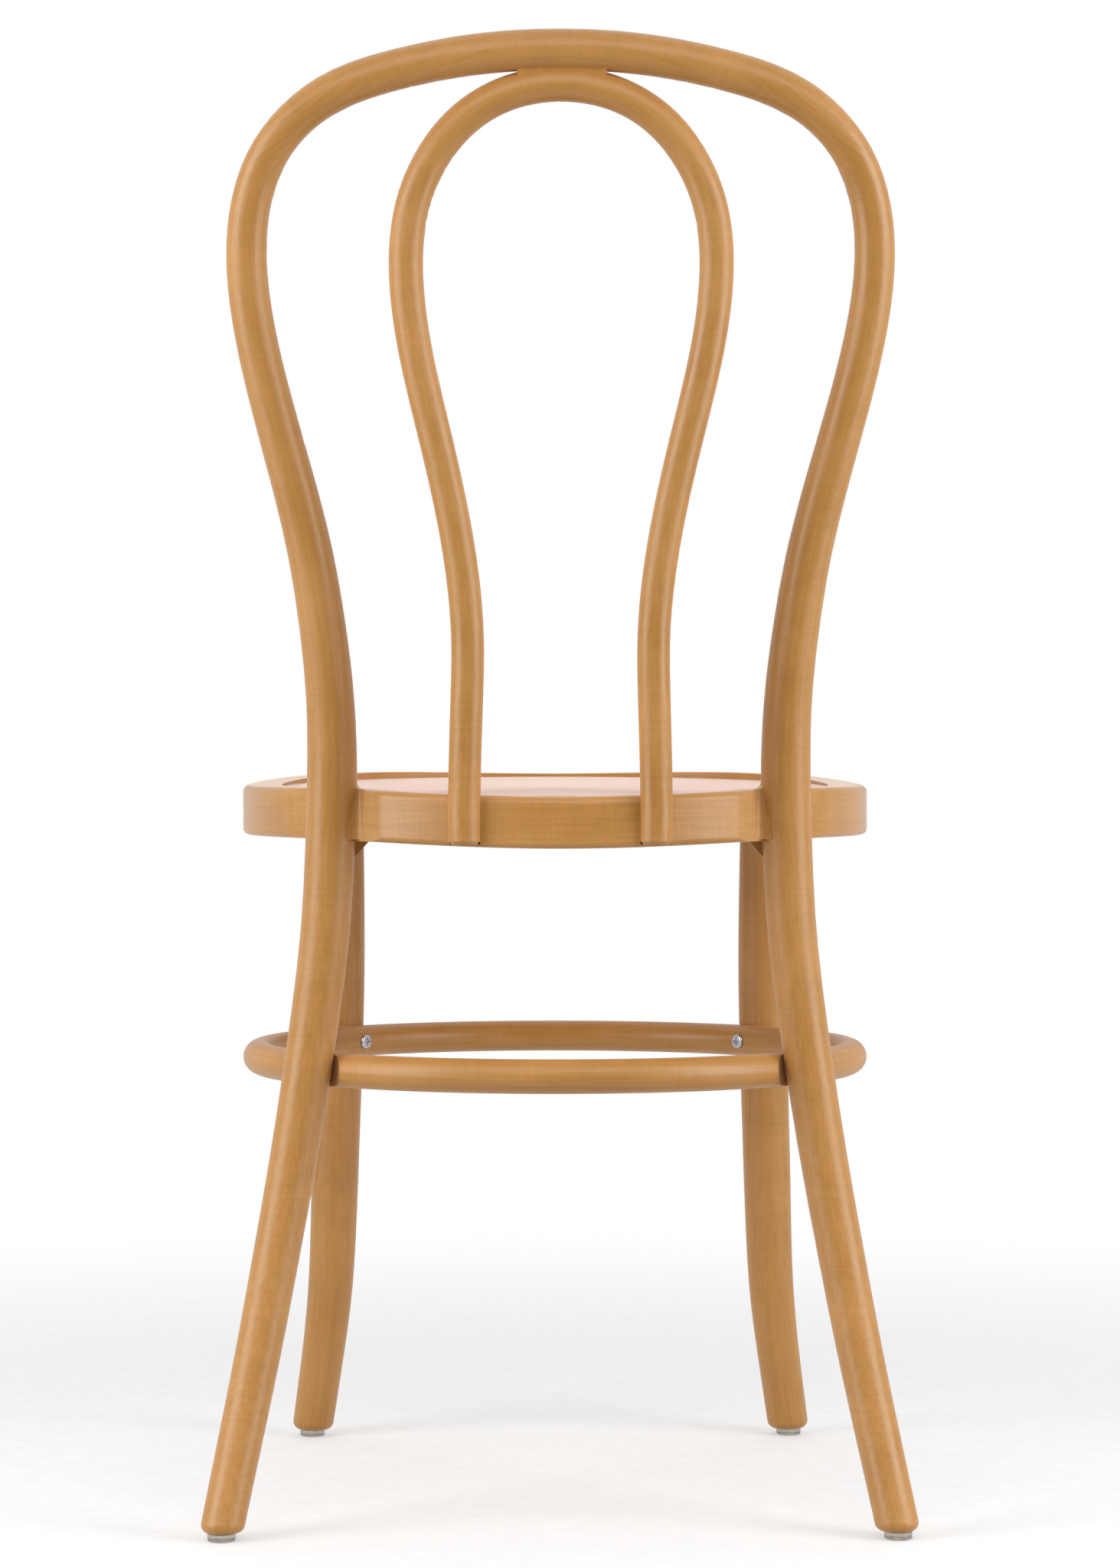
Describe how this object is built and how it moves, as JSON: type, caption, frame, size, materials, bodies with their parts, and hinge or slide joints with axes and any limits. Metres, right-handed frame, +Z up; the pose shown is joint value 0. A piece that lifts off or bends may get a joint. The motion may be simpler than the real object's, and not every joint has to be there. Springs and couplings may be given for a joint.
{
  "type": "bistro chair",
  "caption": "Side chair in the bentwood bistro style, moulded in tan plastic: looped back hoops, round seat with a raised rim, splayed round legs tied by a ring",
  "frame": {"origin": "middle of the chair's footprint on the floor, under the middle of its overall box", "axes": "+Z up, the front of the seat faces -Y, the back and the picture's camera are on the +Y side, X runs across the chair"},
  "size_m": [0.4332, 0.4582, 0.9015],
  "materials": {
    "tan_resin": "satin moulded, fine brushed grain",
    "seat_skin": "satin moulded, fine woven texture",
    "zinc_screw": "bright zinc plated",
    "clear_glide": "smoky clear plastic",
    "dowel": "plain"
  },
  "bodies": {
    "root": {"seat_ring": "tan_resin", "seat_panel": "seat_skin", "rear_frame": "tan_resin", "inner_hoop": "tan_resin", "hoop_bridge": "tan_resin", "hoop_dowel_left": "dowel", "hoop_dowel_right": "dowel", "front_leg_left": "tan_resin", "front_leg_right": "tan_resin", "seat_gusset_left": "tan_resin", "seat_gusset_right": "tan_resin", "leg_ring": "tan_resin", "ring_screw_rear_left": "zinc_screw", "ring_screw_rear_right": "zinc_screw", "ring_screw_front_left": "zinc_screw", "ring_screw_front_right": "zinc_screw", "seat_bolt_rear_left": "zinc_screw", "seat_bolt_rear_right": "zinc_screw", "tenon_screw_front_left": "zinc_screw", "tenon_screw_front_right": "zinc_screw", "hoop_screw_left": "zinc_screw", "hoop_screw_right": "zinc_screw", "rear_foot_cap_left": "tan_resin", "rear_foot_cap_right": "tan_resin", "rear_glide_left": "clear_glide", "rear_glide_right": "clear_glide", "front_glide_left": "clear_glide", "front_glide_right": "clear_glide"}
  },
  "joints": []
}
